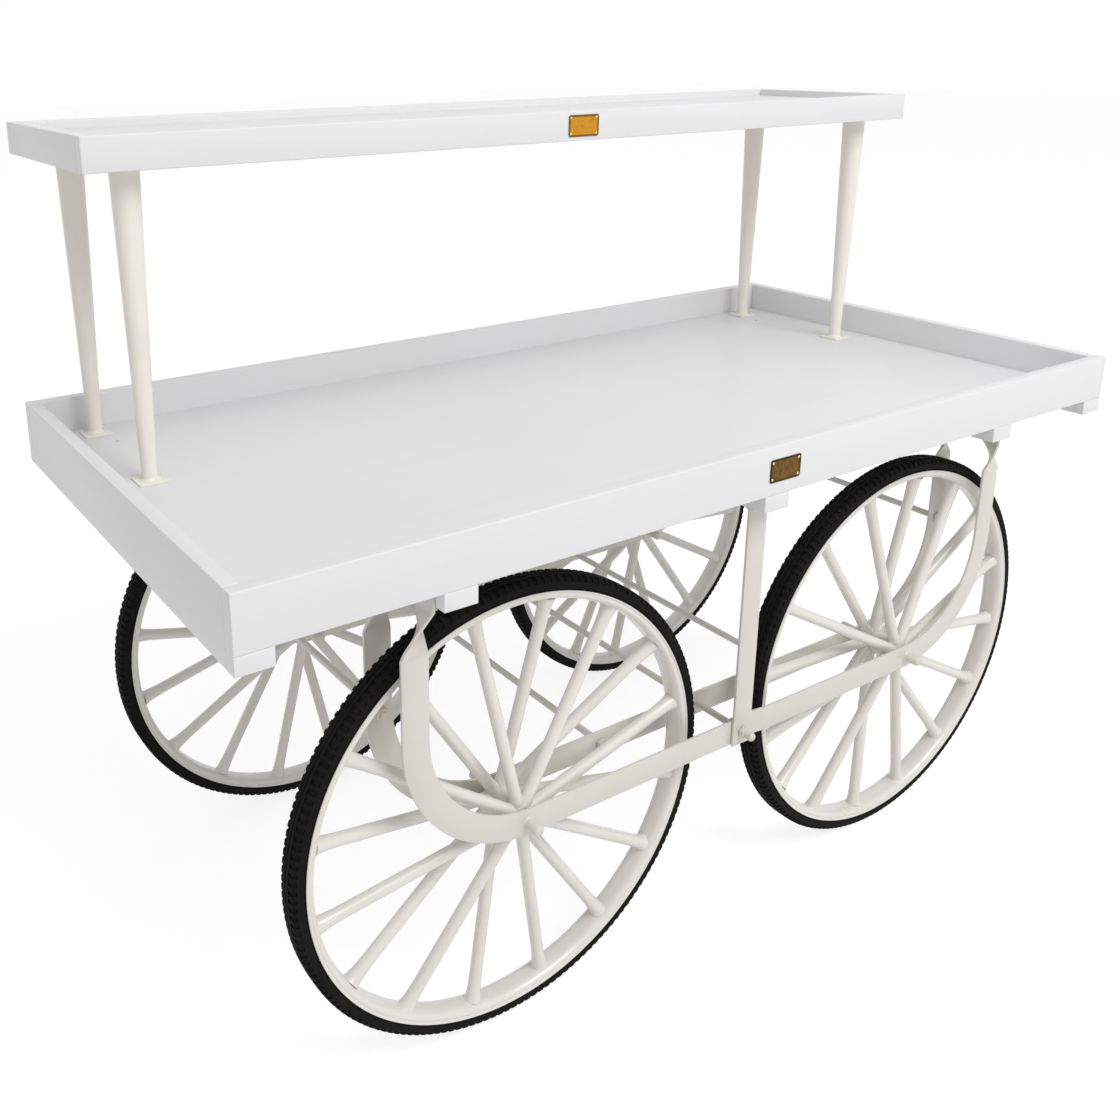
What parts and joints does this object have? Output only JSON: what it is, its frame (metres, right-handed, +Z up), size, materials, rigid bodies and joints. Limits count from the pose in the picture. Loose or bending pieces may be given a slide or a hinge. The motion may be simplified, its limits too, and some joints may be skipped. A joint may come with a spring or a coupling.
{
  "type": "market display cart",
  "caption": "White display cart: rimmed timber deck on spoked steel wheels hung from bent flat bars, with a raised rimmed shelf on tapered posts.",
  "frame": {"origin": "on the floor under the middle of the deck", "axes": "+X along the deck to the right seen from the front, +Y to the rear where the shelf is, +Z up"},
  "size_m": [1.83, 0.9012, 1.382],
  "materials": {
    "board_paint": "satin white paint",
    "steel_paint": "satin cream-white paint",
    "post_paint": "satin cream paint",
    "tyre_rubber": "matt black rubber",
    "aged_brass": "aged brass",
    "bright_brass": "bright brass",
    "bush_nylon": "off-white nylon"
  },
  "bodies": {
    "cart_frame": {"deck_panel": "board_paint", "deck_front_rim": "board_paint", "deck_rear_rim": "board_paint", "deck_left_rim": "board_paint", "deck_right_rim": "board_paint", "cross_batten_left_end": "board_paint", "cross_batten_left": "board_paint", "cross_batten_centre": "board_paint", "cross_batten_right": "board_paint", "cross_batten_right_end": "board_paint", "shelf_panel": "board_paint", "shelf_front_rim": "board_paint", "shelf_rear_rim": "board_paint", "shelf_left_rim": "board_paint", "shelf_right_rim": "board_paint", "shelf_cleat_left": "board_paint", "shelf_cleat_centre": "board_paint", "shelf_cleat_right": "board_paint", "shelf_post_front_left": "post_paint", "shelf_post_front_right": "post_paint", "shelf_post_rear_left": "post_paint", "shelf_post_rear_right": "post_paint", "outer_side_bar_front_left": "steel_paint", "outer_side_bar_front_right": "steel_paint", "outer_side_bar_rear_left": "steel_paint", "outer_side_bar_rear_right": "steel_paint", "inner_side_bar_front": "steel_paint", "inner_side_bar_rear": "steel_paint", "centre_post_front": "steel_paint", "centre_post_rear": "steel_paint", "upper_cross_rod_left": "steel_paint", "upper_cross_rod_right": "steel_paint", "lower_cross_rod_left": "steel_paint", "lower_cross_rod_right": "steel_paint", "lower_cross_rod_centre": "steel_paint", "cap_nut_front": "steel_paint", "cap_nut_rear": "steel_paint", "axle_front_left": "steel_paint", "axle_front_right": "steel_paint", "axle_rear_left": "steel_paint", "axle_rear_right": "steel_paint", "deck_name_plate": "aged_brass", "shelf_name_plate": "bright_brass"},
    "wheel_front_left": {"wheel_front_left_tyre": "tyre_rubber", "wheel_front_left_rim": "steel_paint", "wheel_front_left_hub_and_spokes": "steel_paint", "wheel_front_left_bush": "bush_nylon"},
    "wheel_front_right": {"wheel_front_right_tyre": "tyre_rubber", "wheel_front_right_rim": "steel_paint", "wheel_front_right_hub_and_spokes": "steel_paint", "wheel_front_right_bush": "bush_nylon"},
    "wheel_rear_left": {"wheel_rear_left_tyre": "tyre_rubber", "wheel_rear_left_rim": "steel_paint", "wheel_rear_left_hub_and_spokes": "steel_paint", "wheel_rear_left_bush": "bush_nylon"},
    "wheel_rear_right": {"wheel_rear_right_tyre": "tyre_rubber", "wheel_rear_right_rim": "steel_paint", "wheel_rear_right_hub_and_spokes": "steel_paint", "wheel_rear_right_bush": "bush_nylon"}
  },
  "joints": [
    {"name": "wheel_front_left_spin", "type": "hinge", "parent": "cart_frame", "child": "wheel_front_left", "pos_m": [-0.447, -0.357, 0.378], "axis": [0, 1, 0], "continuous": true},
    {"name": "wheel_front_right_spin", "type": "hinge", "parent": "cart_frame", "child": "wheel_front_right", "pos_m": [0.447, -0.357, 0.378], "axis": [0, 1, 0], "continuous": true},
    {"name": "wheel_rear_left_spin", "type": "hinge", "parent": "cart_frame", "child": "wheel_rear_left", "pos_m": [-0.447, 0.357, 0.378], "axis": [0, 1, 0], "continuous": true},
    {"name": "wheel_rear_right_spin", "type": "hinge", "parent": "cart_frame", "child": "wheel_rear_right", "pos_m": [0.447, 0.357, 0.378], "axis": [0, 1, 0], "continuous": true}
  ]
}
